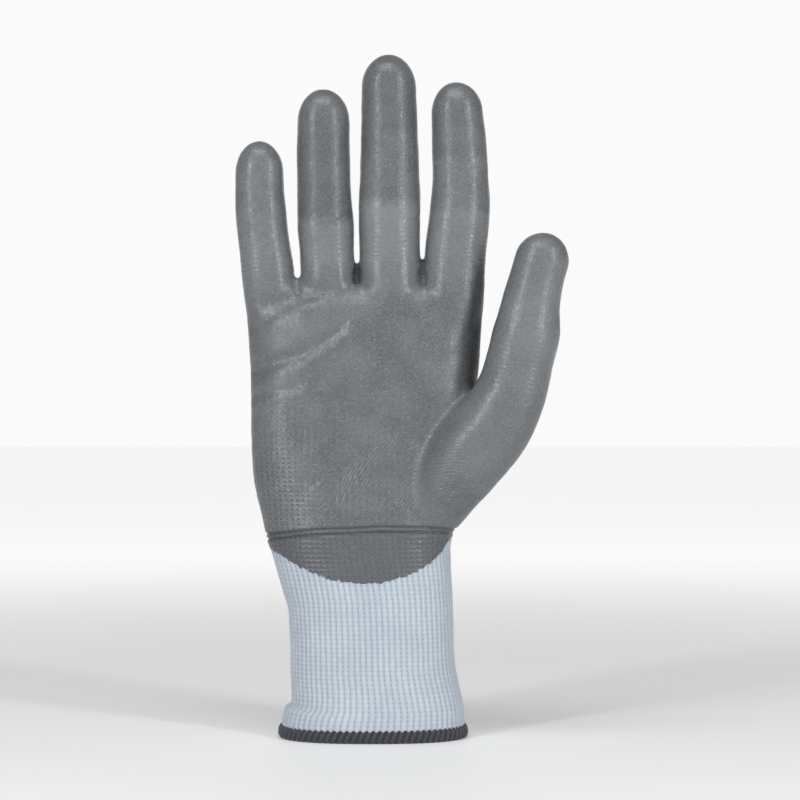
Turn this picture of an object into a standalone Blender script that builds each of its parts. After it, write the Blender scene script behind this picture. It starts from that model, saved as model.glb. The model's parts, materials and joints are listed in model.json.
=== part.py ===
"""A cut resistant work glove for the right hand, standing on its cuff with the fingers up.

The glove is a seamless knitted liner with a thin polyurethane skin over the palm, the
fingers and the fingertips, a knitted cuff with elastic yarns, and an overlocked hem.
The palm faces -Y, the fingertips point to +Z and the thumb is towards +X. Units are metres.

Fabric bends anywhere. Here the glove is parted where a hand folds it: at the wrist, at
the three knuckles of each finger and at the two knuckles of the thumb. Each part is a
hollow solid, bevelled so that it can turn about its knuckle.
"""

import math

import bmesh
import bpy
from mathutils import Matrix, Vector

# Layers, from the outside in. Every width below is taken over the coating.
COAT_WALL = 0.0005
LAYER_GAP = 0.0003
KNIT_WALL = 0.0010

# Cuff and hem.
CUFF_LENGTH = 0.0750
CUFF_WIDTH = 0.0626
CUFF_DEPTH = 0.0425
CUFF_NARROW_FROM = 0.30
CUFF_NARROW_TO = 0.72
CUFF_SHIFT = 0.0025
MOUTH_WIDTH = 0.0666
MOUTH_DEPTH = 0.0520
MOUTH_BELOW = 0.0100
HEM_HEIGHT = 0.0060
HEM_WALL = 0.0010
HEM_FLOOR = 0.0020
YARN_DIAMETER = 0.0006
YARN_ROWS = 4
YARN_SPACING = 0.0120
YARN_START = 0.0180

# Palm.
WRIST_WIDTH = 0.0700
WRIST_DEPTH = 0.0400
WRIST_SHIFT = -0.0010
HEEL_WIDTH = 0.0780
HEEL_DEPTH = 0.0340
HEEL_SHIFT = -0.0020
PALM_LENGTH = 0.0910
PALM_WIDTH = 0.0838
PALM_DEPTH = 0.0290
KNUCKLE_DEPTH = 0.0250
TONGUE_DROP = 0.0170
TONGUE_CURVE = 13.5
TONGUE_STEPS = 12
TONGUE_MARGIN = 0.0100

# The palm between the wrist and the webs: share of its length, width, depth and shift.
PALM_SECTIONS = (
    (0.20, HEEL_WIDTH, HEEL_DEPTH, HEEL_SHIFT),
    (0.42, PALM_WIDTH, PALM_DEPTH, 0.0),
    (0.68, PALM_WIDTH, PALM_DEPTH, 0.0),
)

# Fingers: name, width at the base, at the middle knuckle and at the tip, the lengths
# from knuckle to knuckle to tip, how far the base knuckle stands above the web, how far
# the finger leans sideways in degrees, and how far it curls forward over its length.
FINGERS = (
    ("little", 0.0196, 0.0186, 0.0174, (0.0160, 0.0155, 0.0170), 0.0045, -3.5, 0.003),
    ("ring", 0.0200, 0.0204, 0.0192, (0.0165, 0.0216, 0.0260), 0.0075, -1.2, 0.004),
    ("middle", 0.0225, 0.0226, 0.0203, (0.0235, 0.0245, 0.0275), 0.0085, -0.4, 0.005),
    ("index", 0.0230, 0.0220, 0.0194, (0.0190, 0.0200, 0.0270), 0.0080, 0.4, 0.004),
)
FINGER_GAP = 0.0018
DIGIT_FLATNESS = 0.94
TIP_ROUND = 0.0120
TIP_FULLNESS = 1.015

# A finger's root inside the palm: how deep it starts, its half width and half depth as
# shares of the finger's base width, and how far it leans in as a share of its place.
FINGER_ROOT = 0.0220
ROOT_WIDTH_SHARE = 0.42
ROOT_DEPTH_SHARE = 0.38
ROOT_LEAN_SHARE = 0.04

# Thumb: its base knuckle is placed from the edge of the palm and the wrist.
THUMB_OUT = 0.0138
THUMB_FORWARD = 0.0150
THUMB_UP = 0.0600
THUMB_LEAN = math.radians(12.8)
THUMB_TILT = math.radians(6.0)
THUMB_LENGTHS = (0.0160, 0.0338)
THUMB_WIDTH = 0.0242
THUMB_KNUCKLE_WIDTH = 0.0236
THUMB_TIP_WIDTH = 0.0194
THUMB_TIP_ROUND = 0.0100
THUMB_TIP_FULLNESS = 1.05
THUMB_KNUCKLE_SHARE = 0.85
THUMB_WAIST = 0.0100
THUMB_CLEAR = 0.0004

# The ball of the thumb, from the wrist to the base knuckle: where each section lies from
# that knuckle, then its half width and half depth.
THUMB_BALL = (
    ((-0.0310, 0.0110, -0.0560), 0.0089, 0.0115),
    ((-0.0225, 0.0060, -0.0350), 0.0148, 0.0135),
    ((-0.0100, 0.0025, -0.0215), 0.0148, 0.0135),
    ((-0.0022, 0.0006, -0.0075), 0.0121, 0.0121),
)


# Knuckles: how far each turns, and where its axis lies in the depth of the digit.
FINGER_TURNS = (60.0, 75.0, 45.0)
THUMB_TURNS = (40.0, 60.0)
WRIST_TURN = 35.0
HINGE_FORWARD = 0.0010
CUT_GAP = 0.0004

# The coating's edge lies behind the middle of the glove, and it wraps the fingertips.
COAT_EDGE = 0.0045
TIP_COAT = 0.0130

# How square the hand is, where 2 is an ellipse, and how finely the solids are faceted.
HAND_SQUARENESS = 2.5
HAND_SIDES = 32
THUMB_SIDES = 20
FINGER_SIDES = 16
TIP_RINGS = 4
REACH = 0.3

COAT_OUT = 0.0
COAT_IN = COAT_OUT - COAT_WALL
KNIT_OUT = COAT_IN - LAYER_GAP
KNIT_IN = KNIT_OUT - KNIT_WALL

WEB_HEIGHT = CUFF_LENGTH + PALM_LENGTH
ROW_WIDTH = sum(finger[1] for finger in FINGERS) + FINGER_GAP * (len(FINGERS) - 1)


# ---------------------------------------------------------------- scene and materials
def clear_scene():
    for obj in list(bpy.data.objects):
        bpy.data.objects.remove(obj, do_unlink=True)


def new_collection(name):
    collection = bpy.data.collections.new(name)
    bpy.context.scene.collection.children.link(collection)
    return collection


def new_material(name, colour, roughness):
    material = bpy.data.materials.new(name)
    material.use_nodes = True
    shader = material.node_tree.nodes["Principled BSDF"]
    shader.inputs["Base Color"].default_value = (*colour, 1.0)
    shader.inputs["Roughness"].default_value = roughness
    shader.inputs["Metallic"].default_value = 0.0
    return material


def new_object(name, bm, collection):
    bmesh.ops.recalc_face_normals(bm, faces=bm.faces)
    mesh = bpy.data.meshes.new(name)
    bm.to_mesh(mesh)
    bm.free()
    obj = bpy.data.objects.new(name, mesh)
    collection.objects.link(obj)
    return obj


def new_cutter(name, bm):
    cutter = new_object(name, bm, CUTTERS)
    cutter.hide_render = True
    cutter.display_type = "WIRE"
    return cutter


def new_empty(name, place, parent=None):
    empty = bpy.data.objects.new(name, None)
    PARTS.objects.link(empty)
    empty.parent = parent
    origin = parent.matrix_world.translation if parent else Vector()
    empty.location = Vector(place) - origin
    bpy.context.view_layer.update()
    return empty


# ---------------------------------------------------------------- solids
def ring_point(angle, half_width, half_depth, squareness):
    """A point of a rounded section: squareness 2 is an ellipse, and more is boxier."""
    across = math.copysign(abs(math.cos(angle)) ** (2 / squareness), math.cos(angle))
    deep = math.copysign(abs(math.sin(angle)) ** (2 / squareness), math.sin(angle))
    return half_width * across, half_depth * deep


def loft(name, stations, grow, sides, squareness=2.2):
    """A closed solid through stations of (centre, half width, half depth), grown outwards."""
    bm = bmesh.new()
    rings = []
    for index, (centre, half_width, half_depth) in enumerate(stations):
        before = Vector(stations[max(index - 1, 0)][0])
        after = Vector(stations[min(index + 1, len(stations) - 1)][0])
        along = (after - before).normalized()
        across = Vector((0, 1, 0)).cross(along).normalized()
        deep = along.cross(across)
        ring = []
        for side in range(sides):
            angle = 2 * math.pi * (side + 0.5) / sides
            u, v = ring_point(angle, half_width + grow, half_depth + grow, squareness)
            ring.append(bm.verts.new(Vector(centre) + across * u + deep * v))
        rings.append(ring)
    for lower, upper in zip(rings, rings[1:]):
        for side in range(sides):
            following = (side + 1) % sides
            bm.faces.new((lower[side], lower[following], upper[following], upper[side]))
    bm.faces.new(rings[0])
    bm.faces.new(rings[-1])
    return new_cutter(name, bm)


def rounded_tip(start, direction, reach, half_width, half_depth, grow):
    """Stations that close a digit in a dome, from its last full section."""
    stations = []
    for ring in range(1, TIP_RINGS + 1):
        angle = math.radians(82) * ring / TIP_RINGS
        shrink = math.cos(angle)
        along = Vector(start) + Vector(direction) * (reach + grow) * math.sin(angle)
        width = (half_width + grow) * shrink - grow
        depth = (half_depth + grow) * shrink - grow
        stations.append((along, width, depth))
    return stations


def prism(name, outline, half_width, frame):
    """A straight block: an outline in (depth, height), drawn out sideways both ways."""
    bm = bmesh.new()
    verts = [bm.verts.new((-half_width, depth, height)) for depth, height in outline]
    face = bm.faces.new(verts)
    drawn = bmesh.ops.extrude_face_region(bm, geom=[face])["geom"]
    moved = [item for item in drawn if isinstance(item, bmesh.types.BMVert)]
    bmesh.ops.translate(bm, verts=moved, vec=(2 * half_width, 0, 0))
    bmesh.ops.transform(bm, matrix=frame, verts=bm.verts)
    return new_cutter(name, bm)


def boolean(target, tool, operation):
    """Joins, cuts or intersects target with tool, and applies the result."""
    modifier = target.modifiers.new(operation.lower(), "BOOLEAN")
    modifier.operation = operation
    modifier.object = tool
    modifier.solver = "EXACT"
    graph = bpy.context.evaluated_depsgraph_get()
    mesh = bpy.data.meshes.new_from_object(target.evaluated_get(graph))
    target.modifiers.remove(modifier)
    target.data = mesh
    return target


def copy_of(source, name):
    copy = bpy.data.objects.new(name, source.data.copy())
    copy.hide_render = True
    copy.display_type = "WIRE"
    CUTTERS.objects.link(copy)
    return copy


def shell_between(outer, inner, name):
    return boolean(copy_of(outer, name), inner, "DIFFERENCE")


def as_part(cutter, name, empty, material):
    """Makes a finished solid a part: it hangs on its empty, with its origin there."""
    mesh = cutter.data.copy()
    mesh.transform(Matrix.Translation(-empty.matrix_world.translation))
    mesh.materials.clear()
    mesh.materials.append(material)
    part = bpy.data.objects.new(name, mesh)
    PARTS.objects.link(part)
    part.parent = empty
    part.data.shade_smooth()
    part.data.set_sharp_from_angle(angle=math.radians(40))
    return part


# ---------------------------------------------------------------- knuckles and cuts
class Hinge:
    """A fold line across a digit: where it lies and how far each side may turn."""

    def __init__(self, depth, height, forward_turn, backward_turn=0.0):
        self.depth = depth
        self.height = height
        self.front_slope = math.tan(math.radians(forward_turn / 2))
        self.back_slope = math.tan(math.radians(backward_turn / 2))

    def edge(self, side, back, front):
        """The bevelled end of a solid above (side 1) or below (side -1), back to front."""
        height = self.height + side * CUT_GAP / 2
        return [
            (back, height + side * (back - self.depth) * self.back_slope),
            (self.depth, height),
            (front, height + side * (self.depth - front) * self.front_slope),
        ]


def outline_between(lower, upper, back, front):
    """A segment's side view. Its front ends where the two bevels would cross."""
    slopes = lower.front_slope + upper.front_slope
    height = upper.height - lower.height - CUT_GAP
    lean = lower.depth * lower.front_slope + upper.depth * upper.front_slope
    meeting = (lean - height) / slopes
    if meeting < front:
        return lower.edge(1, back, front) + upper.edge(-1, back, front)[::-1]
    return lower.edge(1, back, meeting) + upper.edge(-1, back, meeting)[1::-1]


def outline_above(lower, back, front, top):
    return lower.edge(1, back, front) + [(front, top), (back, top)]


def outline_below(upper, back, front, bottom):
    return upper.edge(-1, back, front) + [(front, bottom), (back, bottom)]


# ---------------------------------------------------------------- the hand's own form
def hand_stations(grow):
    """The cuff, wrist and palm as one tube, from below the hem to the webs."""
    sections = [
        (grow - MOUTH_BELOW, MOUTH_WIDTH, MOUTH_DEPTH, CUFF_SHIFT),
        (HEM_HEIGHT, MOUTH_WIDTH, MOUTH_DEPTH, CUFF_SHIFT),
        (CUFF_NARROW_FROM * CUFF_LENGTH, CUFF_WIDTH, CUFF_DEPTH, CUFF_SHIFT),
        (CUFF_NARROW_TO * CUFF_LENGTH, CUFF_WIDTH, CUFF_DEPTH, CUFF_SHIFT),
        (CUFF_LENGTH, WRIST_WIDTH, WRIST_DEPTH, WRIST_SHIFT),
    ]
    for share, width, depth, shift in PALM_SECTIONS:
        sections.append((CUFF_LENGTH + share * PALM_LENGTH, width, depth, shift))
    sections.append((WEB_HEIGHT + grow, ROW_WIDTH, KNUCKLE_DEPTH, 0.0))
    return [
        ((shift, 0.0, height), width / 2, depth / 2)
        for height, width, depth, shift in sections
    ]


class Digit:
    """A finger or the thumb, built along +Z of its own frame from its base knuckle."""

    def __init__(self, name, frame, lengths, turns, curl, root, sections, reach, clear, sides):
        self.name = name
        self.frame = frame
        self.total = sum(lengths)
        self.curl = curl
        self.reach = reach
        self.clear = clear
        self.sides = sides
        self.width = sections[0][1]
        self.stations = root + [self.section(along, width) for along, width in sections]
        self.hinges, self.joints = [], []
        along = 0.0
        for length, turn in zip(lengths, turns):
            depth = self.bow(along) - HINGE_FORWARD
            self.hinges.append(Hinge(depth, along, turn))
            self.joints.append(frame @ Vector((0, depth, along)))
            along += length

    def bow(self, along):
        """How far the digit has curled forward at a distance from its base knuckle."""
        return -self.curl * (along / self.total) ** 2

    def section(self, along, width):
        centre = self.frame @ Vector((0, self.bow(along), along))
        return (centre, width / 2, width / 2 * DIGIT_FLATNESS)

    def solid(self, grow):
        """The digit's form at one offset. Its foot is lower the smaller it is."""
        foot, half_width, half_depth = self.stations[0]
        upward = (self.stations[1][0] - foot).normalized()
        stations = [(foot + upward * grow, half_width, half_depth), *self.stations[1:]]
        start, half_width, half_depth = stations[-1]
        onward = (start - stations[-2][0]).normalized()
        dome = rounded_tip(start, onward, self.reach, half_width, half_depth, grow)
        return loft(self.name + "_form", stations + dome, grow, self.sides)


def digit_frame(base, lean, tilt):
    """A frame whose +Z leans sideways towards +X and tilts forward towards -Y."""
    direction = Vector(
        (
            math.sin(lean),
            -math.sin(tilt) * math.cos(lean),
            math.cos(tilt) * math.cos(lean),
        )
    )
    across = Vector((0, 1, 0)).cross(direction).normalized()
    deep = direction.cross(across)
    axes = Matrix((across, deep, direction)).transposed().to_4x4()
    return Matrix.Translation(base) @ axes


def make_finger(finger, corner):
    name, base, knuckle, tip, lengths, rise, lean, curl = finger
    centre = corner + base / 2
    frame = digit_frame(Vector((centre, 0, WEB_HEIGHT + rise)), math.radians(lean), 0.0)
    foot = frame @ Vector((-centre * ROOT_LEAN_SHARE, 0, -FINGER_ROOT))
    root = [(foot, base * ROOT_WIDTH_SHARE, base * ROOT_DEPTH_SHARE)]
    first, second = lengths[0], lengths[0] + lengths[1]
    sections = (
        (0.0, base),
        (first * 0.5, (base + knuckle) / 2),
        (first, knuckle),
        ((first + second) / 2, (knuckle + tip) / 2),
        (second, tip * TIP_FULLNESS),
        (sum(lengths) - TIP_ROUND, tip),
    )
    return Digit(
        name, frame, lengths, FINGER_TURNS, curl, root, sections, TIP_ROUND, FINGER_GAP / 2,
        FINGER_SIDES,
    )


def make_thumb():
    base = Vector((PALM_WIDTH / 2 + THUMB_OUT, -THUMB_FORWARD, CUFF_LENGTH + THUMB_UP))
    frame = digit_frame(base, THUMB_LEAN, THUMB_TILT)
    root = [(base + Vector(place), half, deep) for place, half, deep in THUMB_BALL]
    sections = (
        (0.0, THUMB_WIDTH),
        (THUMB_LENGTHS[0] * THUMB_KNUCKLE_SHARE, THUMB_KNUCKLE_WIDTH),
        (THUMB_LENGTHS[0] + THUMB_WAIST, THUMB_TIP_WIDTH * THUMB_TIP_FULLNESS),
        (sum(THUMB_LENGTHS) - THUMB_TIP_ROUND, THUMB_TIP_WIDTH),
    )
    return Digit(
        "thumb", frame, THUMB_LENGTHS, THUMB_TURNS, 0.0, root, sections, THUMB_TIP_ROUND,
        THUMB_CLEAR, THUMB_SIDES,
    )


def make_digits():
    digits = []
    corner = -ROW_WIDTH / 2
    for finger in FINGERS:
        digits.append(make_finger(finger, corner))
        corner += finger[1] + FINGER_GAP
    digits.append(make_thumb())
    return digits


def whole_form(digits, grow, name):
    """Hand and digits joined as one closed solid, at one layer's offset."""
    form = loft(name, hand_stations(grow), grow, HAND_SIDES, HAND_SQUARENESS)
    for digit in digits:
        boolean(form, digit.solid(grow), "UNION")
    return form


# ---------------------------------------------------------------- parts
def cut_digits_off(shell, digits):
    """Removes all that is above each base knuckle, over that digit's own width."""
    for digit in digits:
        outline = digit.hinges[0].edge(-1, REACH, -REACH) + [(-REACH, REACH), (REACH, REACH)]
        half_width = digit.width / 2 + digit.clear
        boolean(shell, prism(digit.name + "_block", outline, half_width, digit.frame), "DIFFERENCE")
    return shell


def add_palm(forms, digits, wrist, empty):
    knit = shell_between(forms[KNIT_OUT], forms[KNIT_IN], "palm_knit_form")
    cut_digits_off(knit, digits)
    region = prism("palm_region", outline_above(wrist, REACH, -REACH, REACH), REACH, Matrix())
    boolean(knit, region, "INTERSECT")
    as_part(knit, "palm_liner", empty, KNIT)

    coat = shell_between(forms[COAT_OUT], forms[COAT_IN], "palm_coat_form")
    cut_digits_off(coat, digits)
    outline = outline_above(wrist, COAT_EDGE, -REACH, REACH)
    boolean(coat, prism("palm_coat_region", outline, REACH, Matrix()), "INTERSECT")
    as_part(coat, "palm_coating", empty, COATING)


def add_digit(digit, empties):
    """The liner and coating of each segment of one digit, from its base to its tip."""
    knit = shell_between(digit.solid(KNIT_OUT), digit.solid(KNIT_IN), "digit_knit_form")
    coat = shell_between(digit.solid(COAT_OUT), digit.solid(COAT_IN), "digit_coat_form")
    names = ("proximal", "middle", "distal") if len(empties) == 3 else ("proximal", "distal")
    cap = digit.total - TIP_COAT
    last = len(empties) - 1
    for index, (segment, empty) in enumerate(zip(names, empties)):
        lower = digit.hinges[index]
        if index < last:
            upper = digit.hinges[index + 1]
            knit_outline = outline_between(lower, upper, REACH, -REACH)
            coat_outline = outline_between(lower, upper, COAT_EDGE, -REACH)
        else:
            knit_outline = outline_above(lower, REACH, -REACH, REACH)
            coat_outline = lower.edge(1, COAT_EDGE, -REACH)
            coat_outline += [(-REACH, REACH), (REACH, REACH), (REACH, cap), (COAT_EDGE, cap)]
        for layer, shell, outline, material in (
            ("liner", knit, knit_outline, KNIT),
            ("coating", coat, coat_outline, COATING),
        ):
            name = "_".join((digit.name, segment, layer))
            region = prism(name + "_region", outline, REACH, digit.frame)
            piece = boolean(copy_of(shell, name + "_form"), region, "INTERSECT")
            as_part(piece, name, empty, material)


def tube_form(name, grow, bottom, top):
    """The cuff's own tube at one offset, between two heights."""
    form = loft(name, hand_stations(grow), grow, HAND_SIDES, HAND_SQUARENESS)
    outline = [(REACH, bottom), (-REACH, bottom), (-REACH, top), (REACH, top)]
    return boolean(form, prism(name + "_slab", outline, REACH, Matrix()), "INTERSECT")


def add_cuff(forms, wrist, empty):
    knit = shell_between(forms[KNIT_OUT], forms[KNIT_IN], "cuff_knit_form")
    bottom = HEM_FLOOR + LAYER_GAP
    region = prism("cuff_region", outline_below(wrist, REACH, -REACH, bottom), REACH, Matrix())
    boolean(knit, region, "INTERSECT")
    as_part(knit, "cuff_knit", empty, KNIT)


def add_tongue(forms, wrist, empty):
    """The coating's rounded lower end, which runs down over the front of the wrist."""
    coat = shell_between(forms[COAT_OUT], forms[COAT_IN], "tongue_form")
    outline = outline_below(wrist, COAT_EDGE, -REACH, 0.0)
    boolean(coat, prism("tongue_front", outline, REACH, Matrix()), "INTERSECT")
    bm = bmesh.new()
    half_span = WRIST_WIDTH / 2 + TONGUE_MARGIN
    low = CUFF_LENGTH - TONGUE_DROP
    curve = []
    for step in range(TONGUE_STEPS + 1):
        across = half_span * (2 * step / TONGUE_STEPS - 1)
        curve.append((across, low + TONGUE_CURVE * across * across))
    curve += [(half_span, REACH), (-half_span, REACH)]
    face = bm.faces.new([bm.verts.new((across, -REACH, height)) for across, height in curve])
    drawn = bmesh.ops.extrude_face_region(bm, geom=[face])["geom"]
    moved = [item for item in drawn if isinstance(item, bmesh.types.BMVert)]
    bmesh.ops.translate(bm, verts=moved, vec=(0, 2 * REACH, 0))
    boolean(coat, new_cutter("tongue_curve", bm), "INTERSECT")
    as_part(coat, "wrist_coating", empty, COATING)


def add_hem(empty):
    """The overlocked edge: a channel of thread that holds the cuff's raw edge."""
    outside = KNIT_OUT + LAYER_GAP + HEM_WALL
    inside = KNIT_IN - LAYER_GAP - HEM_WALL
    hem = tube_form("hem_outer", outside, 0.0, HEM_HEIGHT)
    boolean(hem, tube_form("hem_hollow", inside, -HEM_HEIGHT, 2 * HEM_HEIGHT), "DIFFERENCE")
    groove = tube_form("groove_outer", KNIT_OUT + LAYER_GAP, HEM_FLOOR, 2 * HEM_HEIGHT)
    core = tube_form("groove_core", KNIT_IN - LAYER_GAP, -HEM_HEIGHT, 3 * HEM_HEIGHT)
    boolean(groove, core, "DIFFERENCE")
    boolean(hem, groove, "DIFFERENCE")
    as_part(hem, "cuff_hem", empty, THREAD)


def section_at(height):
    """The cuff's centre and half sizes at one height, between its stations."""
    stations = hand_stations(0.0)
    for (low, low_width, low_depth), (high, high_width, high_depth) in zip(stations, stations[1:]):
        if low[2] <= height <= high[2]:
            share = (height - low[2]) / (high[2] - low[2])
            centre = Vector(low).lerp(Vector(high), share)
            width = low_width + (high_width - low_width) * share
            depth = low_depth + (high_depth - low_depth) * share
            return centre, width, depth
    raise ValueError("the height is outside the hand")


def add_yarn(row, empty):
    """One elastic yarn, laid round the inside of the cuff in its own course."""
    offset = KNIT_IN - LAYER_GAP - YARN_DIAMETER / 2
    centre, half_width, half_depth = section_at(YARN_START + row * YARN_SPACING)
    name = f"cuff_elastic_yarn_{row + 1}"
    curve = bpy.data.curves.new(name + "_path", "CURVE")
    curve.dimensions = "3D"
    curve.bevel_depth = YARN_DIAMETER / 2
    curve.bevel_resolution = 1
    spline = curve.splines.new("POLY")
    spline.points.add(HAND_SIDES - 1)
    spline.use_cyclic_u = True
    for side in range(HAND_SIDES):
        angle = 2 * math.pi * (side + 0.5) / HAND_SIDES
        u, v = ring_point(angle, half_width + offset, half_depth + offset, HAND_SQUARENESS)
        spline.points[side].co = (*(centre + Vector((u, v, 0))), 1.0)
    path = bpy.data.objects.new(name + "_path", curve)
    CUTTERS.objects.link(path)
    graph = bpy.context.evaluated_depsgraph_get()
    mesh = bpy.data.meshes.new_from_object(path.evaluated_get(graph))
    bpy.data.objects.remove(path)
    bm = bmesh.new()
    bm.from_mesh(mesh)
    as_part(new_cutter(name + "_form", bm), name, empty, ELASTIC)


def stand_on_origin(frame_empty):
    """Moves the whole glove so that its box is centred on Z and stands on z = 0."""
    bpy.context.view_layer.update()
    corners = [
        obj.matrix_world @ vertex.co
        for obj in PARTS.objects
        if obj.type == "MESH"
        for vertex in obj.data.vertices
    ]
    low = [min(corner[axis] for corner in corners) for axis in range(3)]
    high = [max(corner[axis] for corner in corners) for axis in range(3)]
    frame_empty.location = (-(low[0] + high[0]) / 2, -(low[1] + high[1]) / 2, -low[2])
    bpy.context.view_layer.update()


def build():
    digits = make_digits()
    wrist = Hinge(0.0, CUFF_LENGTH, WRIST_TURN, WRIST_TURN)
    glove = new_empty("glove", (0, 0, 0))
    palm = new_empty("palm", (0, 0, WEB_HEIGHT), glove)
    cuff = new_empty("wrist_fold", (WRIST_SHIFT, wrist.depth, wrist.height), palm)
    forms = {
        grow: whole_form(digits, grow, f"form_{layer}")
        for layer, grow in enumerate((COAT_OUT, COAT_IN, KNIT_OUT, KNIT_IN))
    }
    add_palm(forms, digits, wrist, palm)
    add_cuff(forms, wrist, cuff)
    add_tongue(forms, wrist, cuff)
    add_hem(cuff)
    for row in range(YARN_ROWS):
        add_yarn(row, cuff)
    for digit in digits:
        parent, empties = palm, []
        for number, spot in enumerate(digit.joints, 1):
            parent = new_empty(f"{digit.name}_fold_{number}", spot, parent)
            empties.append(parent)
        add_digit(digit, empties)
    stand_on_origin(glove)


clear_scene()
PARTS = new_collection("cut_resistant_glove")
CUTTERS = new_collection("cutters")
KNIT = new_material("knit", (0.48, 0.55, 0.62), 0.9)
COATING = new_material("coating", (0.17, 0.19, 0.20), 0.55)
THREAD = new_material("thread", (0.05, 0.06, 0.08), 0.85)
ELASTIC = new_material("elastic", (0.75, 0.75, 0.72), 0.6)
build()
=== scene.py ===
import json
import math

import bmesh
import bpy
import numpy as np
from mathutils import Matrix, Vector, noise
from mathutils.bvhtree import BVHTree


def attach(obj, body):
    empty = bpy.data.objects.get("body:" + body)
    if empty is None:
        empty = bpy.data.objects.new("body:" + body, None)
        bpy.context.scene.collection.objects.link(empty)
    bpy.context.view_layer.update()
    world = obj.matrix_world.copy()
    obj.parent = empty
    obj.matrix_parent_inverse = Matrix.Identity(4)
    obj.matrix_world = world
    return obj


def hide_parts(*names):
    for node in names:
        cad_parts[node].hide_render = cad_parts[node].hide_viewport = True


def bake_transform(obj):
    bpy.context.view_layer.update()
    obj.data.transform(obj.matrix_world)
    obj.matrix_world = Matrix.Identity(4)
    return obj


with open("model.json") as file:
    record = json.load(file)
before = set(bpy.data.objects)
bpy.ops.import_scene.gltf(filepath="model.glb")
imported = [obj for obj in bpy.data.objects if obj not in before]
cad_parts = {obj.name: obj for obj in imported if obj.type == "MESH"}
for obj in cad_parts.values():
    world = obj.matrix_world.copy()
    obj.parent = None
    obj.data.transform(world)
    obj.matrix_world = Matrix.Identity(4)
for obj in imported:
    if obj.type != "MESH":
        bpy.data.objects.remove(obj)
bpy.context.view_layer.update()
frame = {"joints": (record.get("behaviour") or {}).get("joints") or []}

# The palm faces -Y, the fingertips point to +Z and the thumb is towards +X. Sizes and
# tables are in millimetres, as a glove form is measured, and MM turns them into metres.
# Depths are taken from the middle of the hand, towards the back of it.
MM = 0.001
JOINTS = {joint["name"]: joint for joint in frame["joints"]}
HAND_Y = JOINTS["wrist_bend"]["pos_m"][1]
HAND_MIDDLE = np.array((0.0, HAND_Y, 0.0))

# Layers of the fabric, measured inwards from the outside of the coating. The coating thins
# to EDGE_WALL over the last EDGE_REACH before its edge.
COAT_WALL = 0.35
EDGE_WALL = 0.10
EDGE_REACH = 1.6
LINER_DROP = 0.42
LINER_WALL = 0.85

# The mesh of the skin: its fineness, the heights at which it is twice as fine, and how many
# rounds of smoothing blend in the thumb's ball and the finger roots.
VOXEL = 0.7
WRIST_DETAIL = (55.0, 80.5)
BALL_ROUNDS = 220
ROOT_ROUNDS = 90

# The knit: stitch columns (wales) round the hand, and the height of a row (course). Over
# the ball of the thumb the rows are rings round one place.
HAND_WALES = 80
CUFF_COURSE = 1.62
HAND_COURSE = 1.7
BALL_COURSE = 1.15
BALL_CENTRE = (20.0, 77.0)

# Zones about each knuckle, from, to, along the digit: each digit is cut into pieces midway between them.
WRIST_ZONE = (90.0, 60.0)
FINGER_ZONES = {
    "little": ((170.0, 179.6), (180.0, 193.0), (196.0, 208.0)),
    "ring": ((174.0, 183.5), (183.5, 196.5), (205.0, 218.0)),
    "middle": ((174.0, 188.0), (189.5, 206.5), (215.5, 229.5)),
    "index": ((173.0, 185.5), (185.5, 200.5), (206.5, 219.5)),
}
THUMB_ZONES = ((-6.6, 7.0), (8.5, 23.5))

# The thumb's own side of the skin, the foot of the palm's liner, and the elastic yarns.
THUMB_SIDE = -13.0
PALM_FOOT = 75.6
YARN_HEIGHTS = (18.0, 30.0, 42.0, 54.0)
YARN_RADIUS = 0.3
YARN_SIDES = 8

# The cuff: its ends, its mesh, the relief of its stitches and how its top is tucked in.
CUFF_FOOT = 1.6
CUFF_TOP = 76.2
CUFF_RINGS = 150
INSIDE_RINGS = 24
WALE_SIDES = 6
STITCH_RELIEF = 0.24
STITCH_SINK = 0.10
CUFF_TUCK = 0.5
TUCK_REACH = 1.2

# The hem: wraps of thread round it, its mesh, how far it stands out and in, and how it is
# placed on the cuff; then how the wrapped strands lean and stand out.
HEM_WRAPS = 84
WRAP_SIDES = 12
HEM_AROUND = 28
HEM_OUT = 1.45
HEM_IN = 1.25
HEM_MIDDLE = 0.85
HEM_HEIGHT = 2.0
HEM_TALL = 1.95
LOOP_RISE = 1.0
HEM_ROUNDING = 0.75
STRAND_LEAN = 0.42
STRAND_OUT = 0.34
STRAND_UP = 0.20


# The studio: where the floor begins and ends to glow, and how much it glows there; the
# light of the room and of the backdrop behind the glove; what the camera takes in.
FLOOR_REACH = (0.10, 1.2)
FLOOR_LIGHT = (0.12, 0.62)
ROOM_LIGHT = 0.20
BACKDROP_LIGHT = 0.96
BACKDROP_FACING = (0.70, 0.93)
FIELD = 291.9
CAMERA_HEIGHT = 123.6

# Lights, in metres and watts: place, size and power of each, and the place they point at.
SOFTBOXES = {
    "left_softbox": ((-0.62, -0.85, 0.50), (0.10, 0.85), 4.6),
    "right_softbox": ((0.68, -0.80, 0.45), (0.09, 0.85), 5.0),
    "top_softbox": ((-0.10, -0.40, 1.0), (0.7, 0.3), 3.3),
}
LIT_PLACE = (0, 0, 0.13)


# ---------------------------------------------------------------- the form of the hand
# How square the sections are (2 is round), and the cuff's and palm's width over depth.
HAND_SQUARENESS = 2.5
FINGER_SQUARENESS = 2.35
THUMB_SQUARENESS = 2.3
CUFF_RATIO = 1.45
PALM_RATIO = 2.8

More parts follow.
